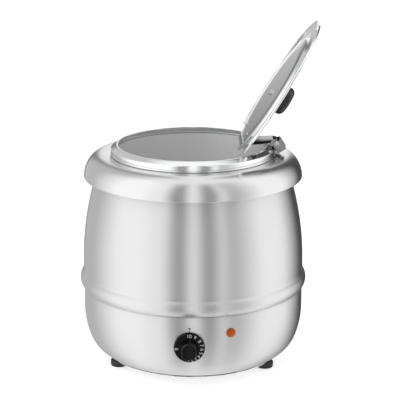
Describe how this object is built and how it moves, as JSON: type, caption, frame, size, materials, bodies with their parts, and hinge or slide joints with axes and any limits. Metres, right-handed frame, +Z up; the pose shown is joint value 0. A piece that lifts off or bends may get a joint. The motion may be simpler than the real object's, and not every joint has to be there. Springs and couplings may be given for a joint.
{
  "type": "soup kettle",
  "caption": "Electric soup kettle: round bellied steel housing with a water bath, lift-out pot, seated lid ring, hinged lid parked open, front thermostat knob and pilot lamp, rubber feet.",
  "frame": {"origin": "on the floor, at the middle of the space the kettle takes with its lid parked open; the housing's own axis is 7.6 mm towards -X of it", "axes": "+Z up; the control knob faces -Y; the lid's hinge bracket is on the +X side"},
  "size_m": [0.3545, 0.3825, 0.5083],
  "materials": {
    "brushed_casing": "fine circumferential brushed stainless steel",
    "mirror_steel": "mirror-polished stainless steel",
    "satin_steel": "satin drawn stainless steel",
    "plated_hardware": "bright plated steel",
    "black_plastic": "moulded phenolic, semi-gloss",
    "rubber": "matt moulded rubber",
    "amber_lens": "clear orange polycarbonate over a neon lamp",
    "copper": "drawn copper",
    "ceramic": "cream steatite and thermoset"
  },
  "bodies": {
    "housing": {"upper_casing": "brushed_casing", "lower_casing": "brushed_casing", "top_collar": "brushed_casing", "base_plate": "plated_hardware", "water_tank": "satin_steel", "foot_rear": "rubber", "foot_screw_rear": "plated_hardware", "foot_nut_rear": "plated_hardware", "foot_front_left": "rubber", "foot_screw_front_left": "plated_hardware", "foot_nut_front_left": "plated_hardware", "foot_front_right": "rubber", "foot_screw_front_right": "plated_hardware", "foot_nut_front_right": "plated_hardware", "tie_rod_1": "plated_hardware", "tie_nut_1": "plated_hardware", "tie_rod_2": "plated_hardware", "tie_nut_2": "plated_hardware", "tie_rod_3": "plated_hardware", "tie_nut_3": "plated_hardware", "heat_shield": "satin_steel", "heating_element": "satin_steel", "heater_clamp_plate": "plated_hardware", "heater_clamp_nut": "plated_hardware", "thermal_cutout": "black_plastic", "terminal_block": "ceramic", "pilot_lens": "amber_lens", "pilot_lamp_body": "ceramic", "pilot_lamp_nut": "black_plastic", "cable_gland": "black_plastic", "gland_locknut": "black_plastic", "thermostat_body": "black_plastic", "thermostat_screw_left": "plated_hardware", "thermostat_screw_right": "plated_hardware", "sensor_bulb": "copper", "capillary_tube": "copper", "bulb_clip": "plated_hardware"},
    "control_knob": {"control_knob": "black_plastic", "thermostat_shaft": "plated_hardware"},
    "insert_pot": {"insert_pot": "satin_steel"},
    "lid_ring": {"lid_ring": "mirror_steel", "hinge_bracket": "plated_hardware", "bracket_rivet_front": "plated_hardware", "bracket_rivet_rear": "plated_hardware", "hinge_pin": "plated_hardware"},
    "lid_strap": {"lid_strap": "mirror_steel", "hinge_rod": "plated_hardware"},
    "lid": {"lid": "mirror_steel", "hinge_clip_front": "plated_hardware", "hinge_clip_rear": "plated_hardware", "clip_rivet_front": "plated_hardware", "clip_rivet_rear": "plated_hardware", "lid_knob": "black_plastic", "lid_knob_screw": "plated_hardware"}
  },
  "joints": [
    {"name": "knob_turn", "type": "hinge", "parent": "housing", "child": "control_knob", "pos_m": [-0.0076, -0.165, 0.0676], "axis": [0, 1, 0], "range_deg": [-266, 0]},
    {"name": "pot_lift", "type": "slide", "parent": "housing", "child": "insert_pot", "axis": [0, 0, 1], "range_m": [0, 0.24]},
    {"name": "ring_lift", "type": "slide", "parent": "insert_pot", "child": "lid_ring", "axis": [0, 0, 1], "range_m": [0, 0.06]},
    {"name": "strap_lift", "type": "hinge", "parent": "lid_ring", "child": "lid_strap", "pos_m": [0.1159, 0, 0.331], "axis": [0, 1, 0], "range_deg": [0, 40]},
    {"name": "lid_hinge", "type": "hinge", "parent": "lid_strap", "child": "lid", "pos_m": [0.0719, 0, 0.3324], "axis": [0, 1, 0], "range_deg": [-122.4, 0]}
  ]
}
